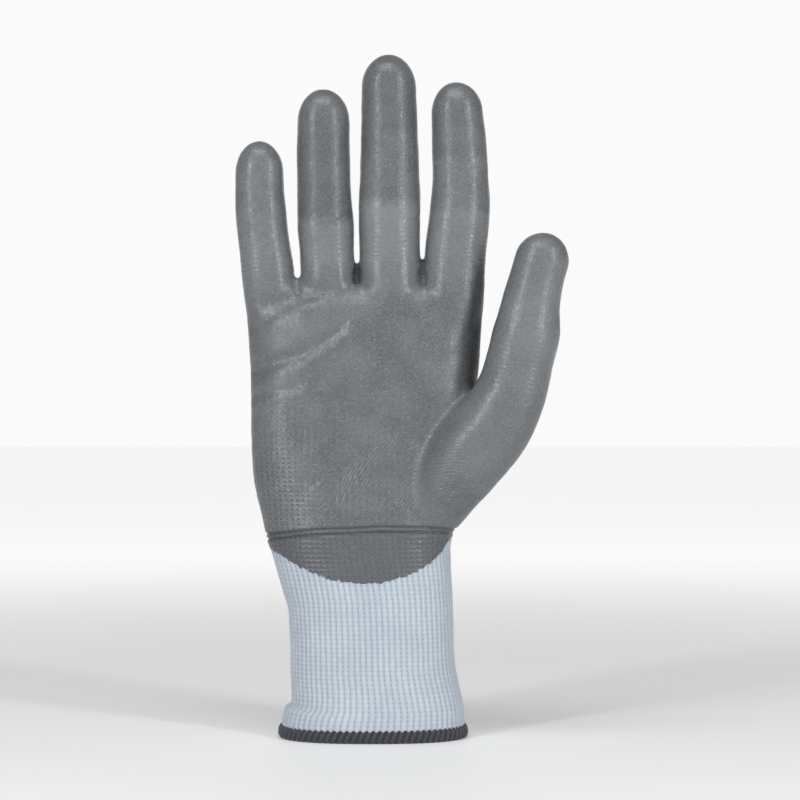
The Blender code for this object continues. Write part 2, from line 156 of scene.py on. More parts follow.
# Left edge, right edge and depth of the cuff and palm at each height.
HAND_SECTIONS = (
    (-6, -44.2, 24.9, 52.0),
    (0, -44.2, 24.9, 52.0),
    (5, -43.6, 25.0, 51.0),
    (10, -41.4, 24.0, 48.0),
    (16, -40.5, 22.2, 45.0),
    (24, -40.7, 20.7, 43.0),
    (36, -40.8, 20.2, 42.4),
    (50, -41.8, 19.8, 41.6),
    (58, -43.8, 19.5, 40.8),
    (67, -46.6, 19.4, 39.8),
    (76, -49.6, 21.0, 38.4),
    (85, -51.7, 23.0, 35.6),
    (97, -54.2, 25.0, 32.4),
    (112, -54.9, 27.0, 29.8),
    (132, -55.1, 28.9, 28.2),
    (150, -56.0, 30.0, 27.0),
    (157, -56.7, 30.7, 24.8),
    (162, -57.2, 31.1, 20.0),
    (165, -56.9, 30.8, 13.5),
    (166.8, -55.5, 29.6, 5.0),
)

# Height, centre and half width of each finger, from inside the palm to the dome's foot;
# then how far the dome reaches, and how far the tip has curled towards the palm.
FINGERS = {
    "little": (
        (
            (148, -46.4, 8.2), (161, -47.9, 9.4), (171, -48.7, 9.7), (183, -50.25, 9.3),
            (191, -51.0, 9.35), (198, -51.5, 9.1), (207, -51.6, 8.8),
        ),
        11.7, 4.0,
    ),
    "ring": (
        (
            (148, -26.0, 9.0), (163, -26.3, 10.15), (171, -26.6, 10.1), (178, -26.9, 10.05),
            (187, -27.3, 10.4), (197, -27.8, 10.0), (211, -28.1, 9.8), (225.5, -28.1, 9.6),
        ),
        12.2, 5.0,
    ),
    "middle": (
        (
            (148, -3.4, 10.0), (164, -3.5, 11.5), (171, -3.65, 11.25), (178, -3.8, 11.15),
            (188, -3.9, 11.35), (198, -3.8, 11.35), (209, -3.8, 10.85), (223, -3.9, 10.4),
            (238, -4.1, 10.0),
        ),
        12.2, 6.0,
    ),
    "index": (
        (
            (148, 18.2, 10.0), (162, 19.3, 11.6), (170, 19.9, 11.35), (177, 20.4, 11.3),
            (186, 21.3, 11.2), (196, 22.2, 10.95), (206, 22.2, 10.3), (219, 21.7, 10.0),
            (228.5, 21.0, 9.5),
        ),
        11.8, 5.0,
    ),
}

# The line between two fingers: its place at the web, the web's height, how it leans.
FINGER_PARTINGS = ((-38.0, 170.0, -0.040), (-15.8, 174.0, -0.015), (8.0, 173.0, 0.040))

# The fingers lie above one height and before one line, the thumb beyond another line. A
# point that is on neither gets a measure well below 0.
FINGERS_FROM = 140.0
FINGERS_END = 36.0
THUMB_FROM = 24.0
NOWHERE = -50.0

# Centre, half width and half depth along the ball of the thumb and the thumb itself.
THUMB = (
    ((8.0, -3.3, 74.0), 8.0, 10.0),
    ((17.0, -8.3, 91.0), 12.6, 12.6),
    ((26.0, -11.8, 104.0), 14.6, 13.2),
    ((34.6, -14.4, 115.5), 14.2, 12.8),
    ((40.4, -16.0, 127.0), 12.9, 12.0),
    ((43.4, -17.2, 138.0), 12.15, 11.4),
    ((45.9, -18.4, 148.5), 12.1, 11.3),
    ((47.4, -19.6, 159.0), 10.5, 10.0),
    ((49.6, -20.6, 168.5), 9.85, 9.4),
    ((51.2, -21.2, 174.0), 9.75, 9.0),
)
THUMB_DOME = 10.0

# Folds in the fabric: a line of (across, height) points on the palm side, how deep and
# wide the fold is, how high the ridge of fabric below it stands, and how far the fabric
# below the fold stands out over the fabric above it.
FOLDS = (
    (((-39, 190.4), (-28, 189.8), (-17, 190.8)), 0.34, 1.5, 0.12, 0.50),
    (((-16, 197.0), (-4, 196.5), (8, 197.0)), 0.12, 1.2, 0.04, 0.50),
    (((11, 212.6), (21, 212.0), (32, 213.2)), 0.16, 1.3, 0.06, 0.42),
    (((10, 193.2), (21, 192.8), (33, 193.6)), 0.10, 1.3, 0.03, 0.30),
    (((-15, 222.2), (-4, 221.8), (8, 222.2)), 0.12, 1.0, 0.04, 0.20),
    (((-39, 211.6), (-28, 210.6), (-17, 210.0)), 0.12, 1.5, 0.05, 0.08),
    (((-62, 184.8), (-51, 184.4), (-41, 184.0)), 0.12, 1.2, 0.06, 0.10),
    (((-53.5, 150.5), (-44, 156.5), (-37, 159.0), (-30, 161.5)), 0.30, 2.0, 0.15, 0.0),
    (((-48.5, 159.0), (-38, 161.5), (-25.4, 164.6)), 0.70, 2.3, 0.10, 0.0),
    (((-55.5, 133.5), (-47, 136.6), (-38, 139.6), (-31.6, 143.0), (-22, 149.5)), 1.10, 2.6, 0.25, 0.0),
    (((-56, 124.5), (-48, 126.2), (-38, 128.2)), 0.35, 1.7, 0.22, 0.0),
    (((6, 120.0), (-4, 113.5), (-12, 106.5), (-22, 99.0)), 0.75, 5.2, 0.20, 0.0),
    (((-12, 132), (2, 127.5), (14, 124)), 0.30, 3.0, 0.20, 0.0),
    (((-38.2, 166.5), (-37.6, 163.5)), 1.1, 1.3, 0.0, 0.0),
    (((-15.9, 171.0), (-15.7, 167.5)), 1.5, 1.3, 0.0, 0.0),
    (((8.0, 170.5), (8.2, 167.0)), 1.4, 1.3, 0.0, 0.0),
)

# How far a step fades out above and below its fold and how soft it is; where a fold's ridge
# lies and spreads, in widths of the fold.
STEP_REACH = (6.0, 13.0)
STEP_SOFTNESS = 1.7
RIDGE_BELOW = 1.9
RIDGE_SPREAD = 1.5

# The unevenness of the skin: height, size of the lumps, seed.
UNEVEN = ((0.16, 9, 1), (0.07, 3.5, 2))
PALM_END = (32, 38)

# Painted light and shade along each digit, at heights: 0 is the coating's own grey, 1 the lightest painted
# light, below 0 painted shade.
DIGIT_PAINTED_LIGHT = {
    "little": ((165, 0.35), (184, 0.35), (188, 0.15), (218, 0.15)),
    "ring": ((165, 0.30), (187, 0.45), (191, -0.18), (212, -0.28), (228, -0.1)),
    "middle": ((170, 0.50), (193.5, 0.62), (198, -0.05), (220, -0.15), (223, -0.32), (238, -0.25)),
    "index": ((170, 0.42), (191, 0.50), (194.5, 0.12), (210.5, 0.18), (214, -0.25), (228, 0.0)),
    "thumb": ((120, 0.10), (140, 0.35), (165, 0.35), (184, 0.1)),
}

# Soft pads of the palm: place, spread across and upwards, height.
PADS = (
    ((-35.0, 152.0), (10.0, 6.0), 1.25),
    ((-45.0, 112.0), (7.0, 20.0), 0.55),
    ((-20.0, 88.0), (13.0, 5.0), 0.55),
    ((19.0, 148.0), (5.5, 14.0), 0.55),
    ((-9.0, 124.0), (15.0, 11.0), -0.60),
    ((12.0, 106.0), (12.0, 9.0), 0.45),
)

# The two grooves of the welt where the cuff begins: points of (across, height).
WELT_GROOVES = (
    ((-52, 73.9), (-46.7, 74.9), (-38, 76.0), (-30, 76.7), (-7.4, 77.8), (8, 77.5), (19, 76.4), (24, 75.8)),
    ((-52, 72.2), (-45.4, 73.1), (-38, 74.1), (-30, 74.8), (-7.4, 75.9), (8, 75.8), (19, 74.9), (24, 74.4)),
)
WELT_DEPTH = 0.62
WELT_WIDTH = 0.50

# The lower edge of the coating, over the front of the wrist.
TONGUE_EDGE = (
    (-60, 80), (-52.5, 74.5), (-48.4, 69.5), (-42.3, 66.2), (-36.3, 62.9), (-31.4, 60.7),
    (-24, 58.5), (-15.6, 57.1), (-5.9, 57.6), (0.2, 59.2), (6.2, 61.4), (11.1, 64.6),
    (15.2, 68.2), (18.4, 72.6), (20.8, 76.2), (60, 77),
)

# How far the coating wraps round the sides and down over the tips, and round the thumb's web.
COAT_BACK_EDGE = 4.5
TIP_COAT = 13.0
FORK = (34.0, 133.0)
FORK_COAT = 9.0


def unit_ring(sides, squareness):
    """Points of a rounded square ring of half size 1: squareness 2 is a circle."""
    points = []
    for side in range(sides):
        angle = 2 * math.pi * (side + 0.5) / sides
        across = math.copysign(abs(math.cos(angle)) ** (2 / squareness), math.cos(angle))
        deep = math.copysign(abs(math.sin(angle)) ** (2 / squareness), math.sin(angle))
        points.append(Vector((across, deep, 0)))
    return points


def ring_frame(sections, index):
    """The matrix that takes the unit ring to one section of a drawn-out form."""
    centre, half_width, half_depth = sections[index]
    before = Vector(sections[max(index - 1, 0)][0])
    after = Vector(sections[min(index + 1, len(sections) - 1)][0])
    along = (after - before).normalized()
    across = Vector((0, 1, 0)).cross(along).normalized()
    deep = along.cross(across)
    turn = Matrix((across, deep, along)).transposed().to_4x4()
    size = Matrix.Diagonal((half_width, half_depth, 1, 1))
    return Matrix.Translation(centre) @ turn @ size


def draw_out(name, sections, sides, squareness):
    """Draws a ring out through its sections, one extrusion for each, capped at both ends."""
    bpy.ops.object.select_all(action="DESELECT")
    bpy.ops.mesh.primitive_circle_add(vertices=sides, radius=1, fill_type="NGON")
    form = bpy.context.object
    form.name = name
    for vertex, place in zip(form.data.vertices, unit_ring(sides, squareness)):
        vertex.co = place
    form.data.transform(ring_frame(sections, 0))
    bpy.ops.object.mode_set(mode="EDIT")
    bpy.ops.mesh.select_all(action="SELECT")
    for index in range(1, len(sections)):
        bpy.ops.mesh.extrude_region_move()
        step = ring_frame(sections, index) @ ring_frame(sections, index - 1).inverted()
        cage = bmesh.from_edit_mesh(form.data)
        ring = [vertex for vertex in cage.verts if vertex.select]
        bmesh.ops.transform(cage, matrix=step, verts=ring)
        bmesh.update_edit_mesh(form.data)
    bpy.ops.mesh.select_all(action="SELECT")
    bpy.ops.mesh.normals_make_consistent(inside=False)
    bpy.ops.object.mode_set(mode="OBJECT")
    return form


def between(sections, steps):
    """More sections between the given ones, on a smooth curve through them."""
    rows = [np.array([*centre, width, depth], float) for centre, width, depth in sections]
    rows = [2 * rows[0] - rows[1], *rows, 2 * rows[-1] - rows[-2]]
    made = []
    for p0, p1, p2, p3 in zip(rows, rows[1:], rows[2:], rows[3:]):
        for step in range(steps):
            t = step / steps
            made.append(
                0.5 * (
                    2 * p1 + (p2 - p0) * t + (2 * p0 - 5 * p1 + 4 * p2 - p3) * t**2
                    + (3 * p1 - p0 - 3 * p2 + p3) * t**3
                )
            )
    made.append(rows[-2])
    return [(Vector(row[:3]), row[3], row[4]) for row in made]


def dome(sections, reach, rings=9):
    """Sections that close the last one in a round tip, reaching that far beyond it."""
    start, half_width, half_depth = sections[-1]
    along = (start - sections[-2][0]).normalized()
    closing = []
    for ring in range(1, rings + 1):
        angle = math.radians(87) * ring / rings
        shrink = math.cos(angle)
        centre = start + along * reach * math.sin(angle)
        closing.append((centre, half_width * shrink, half_depth * shrink))
    return sections + closing


def hand_form():
    sections = []
    for height, left, right, depth in HAND_SECTIONS:
        centre = Vector(((left + right) / 2, 0, height)) * MM + Vector(HAND_MIDDLE)
        sections.append((centre, (right - left) / 2 * MM, depth / 2 * MM))
    return draw_out("hand_form", between(sections, 3), 64, HAND_SQUARENESS)


def curl_of(name, height):
    """How far a finger has curled towards the palm at a height."""
    rows, reach, curl = FINGERS[name]
    base, tip = rows[1][0], rows[-1][0] + reach
    return curl * np.clip((height - base) / (tip - base), 0, 1) ** 1.6


def finger_form(name):
    rows, reach, _ = FINGERS[name]
    sections = []
    for height, middle, half_width in rows:
        centre = Vector((middle, -curl_of(name, height) - 0.2, height)) * MM + Vector(HAND_MIDDLE)
        sections.append((centre, half_width * MM, half_width * 0.95 * MM))
    return draw_out(name + "_form", dome(between(sections, 4), reach * MM), 40, FINGER_SQUARENESS)


def thumb_form():
    sections = [
        (Vector(centre) * MM + Vector(HAND_MIDDLE), width * MM, depth * MM)
        for centre, width, depth in THUMB
    ]
    return draw_out("thumb_form", dome(between(sections, 4), THUMB_DOME * MM), 44, THUMB_SQUARENESS)


def apply_modifier(piece, kind, **settings):
    bpy.ops.object.select_all(action="DESELECT")
    piece.select_set(True)
    bpy.context.view_layer.objects.active = piece
    modifier = piece.modifiers.new(kind.lower(), kind)
    for key, value in settings.items():
        setattr(modifier, key, value)
    bpy.ops.object.modifier_apply(modifier=modifier.name)


def ease(value, low, high):
    share = np.clip((value - low) / (high - low), 0, 1)
    return share * share * (3 - 2 * share)


def mesh_points(mesh):
    points = np.empty(len(mesh.vertices) * 3)
    mesh.vertices.foreach_get("co", points)
    return points.reshape(-1, 3)


def in_mm(points):
    """Across, depth from the middle of the hand and height, in millimetres."""
    return ((points - HAND_MIDDLE) / MM).T


def relax(skin, name, weights, rounds):
    group = skin.vertex_groups.new(name=name)
    for index in np.nonzero(weights > 0.01)[0]:
        group.add([int(index)], float(weights[index]), "REPLACE")
    apply_modifier(skin, "SMOOTH", factor=0.5, iterations=rounds, vertex_group=name)


def glove_skin():
    """The whole glove's outside: the forms joined, remeshed as one skin and relaxed."""
    forms = [hand_form(), thumb_form()] + [finger_form(name) for name in FINGERS]
    bpy.ops.object.select_all(action="DESELECT")
    for form in forms:
        form.select_set(True)
    bpy.context.view_layer.objects.active = forms[0]
    bpy.ops.object.join()
    skin = bpy.context.object
    skin.name = "glove_skin"
    apply_modifier(skin, "REMESH", mode="VOXEL", voxel_size=VOXEL * MM)
    apply_modifier(skin, "SMOOTH", factor=0.5, iterations=6)
    x, y, z = in_mm(mesh_points(skin.data))
    ball = ease(z, 76, 88) * (1 - ease(z, 128, 138)) * ease(x, -10, 2) * (1 - ease(x, 36, 46))
    relax(skin, "thumb_ball", ball, BALL_ROUNDS)
    x, y, z = in_mm(mesh_points(skin.data))
    roots = ease(z, 146, 152) * (1 - ease(z, 164, 169)) * ease(np.abs(y), 3, 7) * (1 - ease(x, 29, 32))
    relax(skin, "finger_roots", roots, ROOT_ROUNDS)
    bpy.ops.object.mode_set(mode="EDIT")
    bpy.ops.mesh.select_all(action="DESELECT")
    cage = bmesh.from_edit_mesh(skin.data)
    for face in cage.faces:
        face.select = WRIST_DETAIL[0] < face.calc_center_median().z / MM < WRIST_DETAIL[1]
    bmesh.update_edit_mesh(skin.data)
    bpy.ops.mesh.subdivide()
    bpy.ops.object.mode_set(mode="OBJECT")
    return skin


# ---------------------------------------------------------------- folds in the fabric
def from_line(x, z, line):
    """Distance of points to a line of (across, height) points, positive above it."""
    best = np.full(len(x), 1e9)
    signed = np.zeros(len(x))
    for (x0, z0), (x1, z1) in zip(line, line[1:]):
        dx, dz = x1 - x0, z1 - z0
        share = np.clip(((x - x0) * dx + (z - z0) * dz) / (dx * dx + dz * dz), 0, 1)
        away_x, away_z = x - x0 - share * dx, z - z0 - share * dz
        distance = np.hypot(away_x, away_z)
        side = np.where((dx * away_z - dz * away_x) * (1 if dx > 0 else -1) >= 0, 1.0, -1.0)
        nearer = distance < best
        best[nearer] = distance[nearer]
        signed[nearer] = (side * distance)[nearer]
    return signed


def soft_noise(points, size, seed):
    """Smooth noise from -1 to 1 with lumps of that size in millimetres."""
    scale = 1 / (size * MM)
    offset = Vector((seed * 7.31, seed * 3.17, seed * 5.73))
    return np.array([noise.noise(Vector(point) * scale + offset) for point in points])


def groove_depth(points):
    """How deep in a groove of the welt each point lies, from 0 to 1."""
    x, _, z = in_mm(points)
    depth = np.zeros(len(x))
    for line in WELT_GROOVES:
        heights = np.interp(x, *np.array(line, float).T)
        depth += np.exp(-(((z - heights) / WELT_WIDTH) ** 2))
    return depth


def fold_heights(points, normals):
    """How far every point of the skin moves outwards, in millimetres."""
    x, y, z = in_mm(points)
    front = ease(-normals[:, 1], 0.0, 0.55)
    move = np.zeros(len(x))
    for line, depth, width, ridge, step in FOLDS:
        away = from_line(x, z, line)
        move -= front * depth * np.exp(-((away / width) ** 2))
        from_ridge = away + RIDGE_BELOW * width
        move += front * ridge * np.exp(-((from_ridge / (RIDGE_SPREAD * width)) ** 2))
        if step:
            left, right = line[0][0], line[-1][0]
            on_digit = ease(x, left - 1, left) * (1 - ease(x, right, right + 1))
            reach = np.where(away > 0, *STEP_REACH)
            move -= front * on_digit * step * np.tanh(away / STEP_SOFTNESS) * np.exp(-np.abs(away) / reach)
    palm = 1 - ease(x, *PALM_END)
    for (px, pz), (wide, tall), height in PADS:
        spread = np.exp(-(((x - px) / wide) ** 2) - ((z - pz) / tall) ** 2)
        move += front * palm * height * spread
    move -= WELT_DEPTH * groove_depth(points)
    for height, size, seed in UNEVEN:
        move += height * soft_noise(points, size, seed)
    return move


# ---------------------------------------------------------------- sheets of fabric
class Sheet:
    """An open surface with its normals and the tags that its finish needs."""

    def __init__(self, points, faces, normals, tags):
        self.points, self.faces, self.normals, self.tags = points, faces, normals, tags

    def where(self, values):
        """The part where values are above 0, cut along the line where they are 0."""
        faces = self.faces
        inside = values > 0
        count = inside[faces].sum(1)
        whole = faces[count == 3]
        mixed = faces[(count == 1) | (count == 2)]
        alone = inside[mixed] == (inside[mixed].sum(1) == 1)[:, None]
        first = np.argmax(alone, 1)
        rows = np.arange(len(mixed))
        a, b, c = (mixed[rows, (first + turn) % 3] for turn in range(3))
        ends = np.sort(np.concatenate([np.stack([a, b], 1), np.stack([a, c], 1)]), 1)
        edges, place = np.unique(ends, axis=0, return_inverse=True)
        place = place.reshape(-1) + len(self.points)
        ab, ac = place[: len(a)], place[len(a):]
        kept = inside[a]
        made = np.concatenate(
            [
                whole,
                np.stack([a, ab, ac], 1)[kept],
                np.stack([ab, b, c], 1)[~kept],
                np.stack([ab, c, ac], 1)[~kept],
            ]
        )
        low, high = values[edges[:, 0]], values[edges[:, 1]]
        share = np.clip(low / (low - high), 0.03, 0.97)[:, None]

        def extend(data):
            data2 = data if data.ndim == 2 else data[:, None]
            extra = data2[edges[:, 0]] * (1 - share) + data2[edges[:, 1]] * share
            joined = np.concatenate([data2, extra])
            return joined if data.ndim == 2 else joined[:, 0]

        used, renumbered = np.unique(made, return_inverse=True)
        faces = renumbered.reshape(-1, 3)
        normals = extend(self.normals)[used]
        normals /= np.linalg.norm(normals, axis=1)[:, None]
        tags = {name: extend(data)[used] for name, data in self.tags.items()}
        return Sheet(extend(self.points)[used], faces, normals, tags)


def unit(vectors):
    return vectors / np.maximum(np.linalg.norm(vectors, axis=-1)[..., None], 1e-20)


def normals_of(points, faces):
    corners = points[faces]
    crossed = np.cross(corners[:, 1] - corners[:, 0], corners[:, 2] - corners[:, 0])
    total = np.zeros_like(points)
    for corner in range(3):
        np.add.at(total, faces[:, corner], crossed)
    return unit(total)


def open_edges(faces):
    """Edges that only one face uses, in the direction that it uses them."""
    edges = np.concatenate([faces[:, [0, 1]], faces[:, [1, 2]], faces[:, [2, 0]]])
    keys = np.sort(edges, 1)
    _, first, count = np.unique(keys, axis=0, return_index=True, return_counts=True)
    return edges[first[count == 1]]


def finish_mesh(name, points, faces, corner_normals, tags, wraps, material):
    """A mesh object from triangles and quads, with its own normals, knit map and tags."""
    mesh = bpy.data.meshes.new(name)
    mesh.from_pydata(points, [], [tuple(face) for face in faces])
    mesh.shade_smooth()
    corners = np.empty(len(mesh.loops), int)
    mesh.loops.foreach_get("vertex_index", corners)
    knit = tags["knit"][corners].copy()
    starts = np.empty(len(mesh.polygons), int)
    sizes = np.empty(len(mesh.polygons), int)
    mesh.polygons.foreach_get("loop_start", starts)
    mesh.polygons.foreach_get("loop_total", sizes)
    owner = np.repeat(np.arange(len(starts)), sizes)
    widest = np.maximum.reduceat(knit[:, 0], starts)[owner]
    knit[(widest - knit[:, 0]) > wraps / 2, 0] += wraps
    mesh.uv_layers.new(name="knit").data.foreach_set("uv", knit.astype(np.float32).ravel())
    rest = mesh.attributes.new("rest", "FLOAT_VECTOR", "POINT")
    rest.data.foreach_set("vector", tags["rest"].astype(np.float32).ravel())
    for tag, data in tags.items():
        if tag not in ("knit", "rest"):
            layer = mesh.attributes.new(tag, "FLOAT", "POINT")
            layer.data.foreach_set("value", data.astype(np.float32))
    mesh.normals_split_custom_set(corner_normals)
    piece = bpy.data.objects.new(name, mesh)
    bpy.context.scene.collection.objects.link(piece)
    mesh.materials.append(material)
    return piece


def wall(name, sheet, outside, inside, wraps, material):
    """A closed piece of fabric between two offsets of a sheet, in millimetres inwards."""
    number = len(sheet.points)
    outer = sheet.points - sheet.normals * (outside * MM)[:, None]
    inner = sheet.points - sheet.normals * (inside * MM)[:, None]
    points = np.concatenate([outer, inner])
    edges = open_edges(sheet.faces)
    rim = np.stack([edges[:, 1], edges[:, 0], edges[:, 0] + number, edges[:, 1] + number], 1)
    faces = sheet.faces.tolist() + (sheet.faces[:, ::-1] + number).tolist() + rim.tolist()
    flat = unit(np.cross(points[rim[:, 1]] - points[rim[:, 0]], points[rim[:, 3]] - points[rim[:, 0]]))
    corner_normals = np.concatenate(
        [
            sheet.normals[sheet.faces].reshape(-1, 3),
            -sheet.normals[sheet.faces[:, ::-1]].reshape(-1, 3),
            np.repeat(flat, 4, axis=0),
        ]
    )
    tags = {tag: np.concatenate([data, data]) for tag, data in sheet.tags.items()}
    return finish_mesh(name, points, faces, corner_normals, tags, wraps, material)


# ---------------------------------------------------------------- where the knit runs
def ring_table(ratio):
    """Shares of the way round a section and the angles that they are reached at."""
    angles = np.linspace(0, 2 * np.pi, 721)
    edge_x = np.sign(np.sin(angles)) * np.abs(np.sin(angles)) ** (2 / HAND_SQUARENESS) * ratio
    edge_y = np.sign(np.cos(angles)) * np.abs(np.cos(angles)) ** (2 / HAND_SQUARENESS)
    lengths = np.concatenate([[0], np.cumsum(np.hypot(np.diff(edge_x), np.diff(edge_y)))])
    return lengths / lengths[-1], angles


def ring_share(x, y, ratio):
    """Share of the way round a rounded section from the middle of its back."""
    shares, angles = ring_table(ratio)
    power = HAND_SQUARENESS / 2
    turned = np.arctan2(np.sign(x) * np.abs(x) ** power, np.sign(y) * np.abs(y) ** power)
    return np.interp(turned % (2 * np.pi), angles, shares)


def hand_knit(points, course):
    """Stitch column and row of each point on the cuff and palm."""
    x, y, z = in_mm(points)
    heights, left, right, depth = np.array(HAND_SECTIONS, float).T
    left, right = np.interp(z, heights, left), np.interp(z, heights, right)
    depth = np.interp(z, heights, depth)
    share_x = (x - (left + right) / 2) / ((right - left) / 2)
    share_y = y / (depth / 2)
    bulge = 1 - np.clip(np.abs(share_x), 0, 0.98) ** HAND_SQUARENESS
    straight = np.sign(y) * bulge ** (1 / HAND_SQUARENESS)
    share_y = share_y + (straight - share_y) * ease(z, 140, 155)
    cuff = ring_share(share_x, share_y, CUFF_RATIO)
    palm = ring_share(share_x, share_y, PALM_RATIO)
    share = cuff + (palm - cuff) * ease(z, 55, 105)
    return np.stack([share * HAND_WALES, z / course], 1)


def painted_fork_shade_of(sheet):
    """Painted shade: a nearly black shadow painted on the side of the palm that faces the thumb, deep in
    the fork.
    """
    x, y, z = in_mm(sheet.points)
    sideways = ease(sheet.normals[:, 0], 0.35, 0.85) * ease(x, 20, 27) * (1 - ease(x, 33, 36))
    fork = ease(z, 122, 130) * (1 - ease(z, 165, 186))
    return sideways * fork


def digit_painted_light(name, x, z):
    """Painted light and shade along a digit: how much lighter or darker the coating is painted at each
    height.
    """
    steps = DIGIT_PAINTED_LIGHT[name]
    heights, shades = np.array(steps, float).T
    return np.interp(z, heights, shades)


class Digit:
    """A finger or the thumb: the line of its joints and where each stretch of it lies."""

    def __init__(self, name, segments):
        self.name = name
        self.bends = [JOINTS[f"{name}_{bend}_bend"] for bend in segments]
        self.places = [np.array(bend["pos_m"]) for bend in self.bends]
        if name == "thumb":
            along = self.places[1] - self.places[0]
            self.along = along / np.linalg.norm(along)
            self.zones = THUMB_ZONES
        else:
            axis = np.array(self.bends[0]["axis"])
            self.along = np.array((-axis[2], 0.0, axis[0])) / math.hypot(axis[0], axis[2])
            self.zones = [
                tuple(height - self.places[0][2] / MM for height in zone)
                for zone in FINGER_ZONES[name]
            ]
        self.across = np.cross((0, 1, 0), self.along)
        self.across /= np.linalg.norm(self.across)
        self.deep = np.cross(self.along, self.across)

    def measure(self, points):
        """Across, deep and along from the base knuckle, in millimetres."""
        moved = (points - self.places[0]) / MM
        return moved @ self.across, moved @ self.deep, moved @ self.along

    def centre_line(self, points):
        """The middle of the digit beside each point: across and depth, in millimetres."""
        _, _, z = in_mm(points)
        if self.name == "thumb":
            rows = np.array([centre for centre, _, _ in THUMB])
            return np.interp(z, rows[:, 2], rows[:, 0]), np.interp(z, rows[:, 2], rows[:, 1])
        rows = np.array(FINGERS[self.name][0])
        return np.interp(z, rows[:, 0], rows[:, 1]), -curl_of(self.name, z) - 0.2

    def wales(self):
        return 34 if self.name == "thumb" else 32

    def knit(self, points):
        x, y, _ = in_mm(points)
        middle_x, middle_y = self.centre_line(points)
        turned = np.arctan2(x - middle_x, y - middle_y) % (2 * np.pi)
        _, _, along = self.measure(points)
        return np.stack([turned / (2 * np.pi) * self.wales(), along / HAND_COURSE], 1)

    def cover(self, points, tip):
        """How far inside the coating's edge each point lies, in millimetres."""
        _, y, z = in_mm(points)
        _, middle_y = self.centre_line(points)
        cover = np.maximum(COAT_BACK_EDGE - (y - middle_y), z - (tip - TIP_COAT))
        if self.name == "thumb":
            cover = np.maximum(cover, fork_cover(points))
        return cover


def fork_cover(points):
    """The coating reaches right round the web between the palm and the thumb."""
    x, y, z = in_mm(points)
    near = FORK_COAT - np.hypot(x - FORK[0], z - FORK[1])
    return np.minimum(near, COAT_BACK_EDGE - y)


def palm_cover(points):
    x, y, z = in_mm(points)
    thumb_rows = np.array([centre for centre, _, _ in THUMB])
    thumb_y = np.interp(z, thumb_rows[:, 2], thumb_rows[:, 1])
    thumbward = ease(x, 33, 43) * ease(z, 80, 100)
    side = np.maximum(COAT_BACK_EDGE - (y - thumb_y * thumbward), fork_cover(points))
    jag = 0.75 * soft_noise(points, 1.6, 5) + 0.75 * soft_noise(points, 0.75, 6)
    edge = np.interp(x, *np.array(TONGUE_EDGE, float).T)
    return np.minimum(side, z + jag - edge)


# ---------------------------------------------------------------- finishes
class Finish:
    """A node material, written as sums of its nodes."""

    def __init__(self, name):
        self.material = bpy.data.materials.new(name)
        self.material.use_nodes = True
        self.tree = self.material.node_tree
        self.shader = self.tree.nodes["Principled BSDF"]

    def node(self, kind, **settings):
        made = self.tree.nodes.new(kind)
        for key, value in settings.items():
            setattr(made, key, value)
        return made

    def feed(self, socket, value):
        if isinstance(value, bpy.types.NodeSocket):
            self.tree.links.new(value, socket)
        else:
            socket.default_value = value

    def math(self, operation, *values):
        made = self.node("ShaderNodeMath", operation=operation)
        for socket, value in zip(made.inputs, values):
            self.feed(socket, value)
        return made.outputs[0]

    def blur_step(self, value, low, high):
        """Rises smoothly from 0 at low to 1 at high."""
        made = self.node("ShaderNodeMapRange", interpolation_type="SMOOTHSTEP")
        for socket, item in zip(made.inputs, (value, low, high, 0.0, 1.0)):
            self.feed(socket, item)
        return made.outputs[0]

    def span(self, value, low, high):
        """Takes 0 to 1 to low to high."""
        made = self.node("ShaderNodeMapRange")
        for socket, item in zip(made.inputs, (value, 0.0, 1.0, low, high)):
            self.feed(socket, item)
        return made.outputs[0]

    def mix(self, share, first, second, blend="MIX"):
        made = self.node("ShaderNodeMix", data_type="RGBA", blend_type=blend)
        self.feed(made.inputs[0], share)
        for socket, value in ((made.inputs[6], first), (made.inputs[7], second)):
            self.feed(socket, value if isinstance(value, bpy.types.NodeSocket) else (*value, 1))
        return made.outputs[2]

    def tag(self, name, output="Fac"):
        return self.node("ShaderNodeAttribute", attribute_name=name).outputs[output]

    def grain(self, scale, detail=2.0, roughness=0.5, where=None):
        made = self.node("ShaderNodeTexNoise")
        self.feed(made.inputs["Vector"], where or self.tag("rest", "Vector"))
        self.feed(made.inputs["Scale"], scale)
        self.feed(made.inputs["Detail"], detail)
        self.feed(made.inputs["Roughness"], roughness)
        return made.outputs["Fac"]

    def bump(self, height, distance, strength=1.0, under=None):
        made = self.node("ShaderNodeBump")
        self.feed(made.inputs["Strength"], strength)
        self.feed(made.inputs["Distance"], distance)
        self.feed(made.inputs["Height"], height)
        if under:
            self.feed(made.inputs["Normal"], under)
        return made.outputs["Normal"]

    def knit_map(self):
        """The stitch column and row from the piece's knit map, and the column's fraction."""
        split = self.node("ShaderNodeSeparateXYZ")
        self.feed(split.inputs[0], self.node("ShaderNodeUVMap", uv_map="knit").outputs["UV"])
        column, row = split.outputs[0], split.outputs[1]
        return column, row, self.math("FRACT", column)

    def set(self, **values):
        for name, value in values.items():
            self.feed(self.shader.inputs[name.replace("_", " ").title().replace("Ior", "IOR")], value)


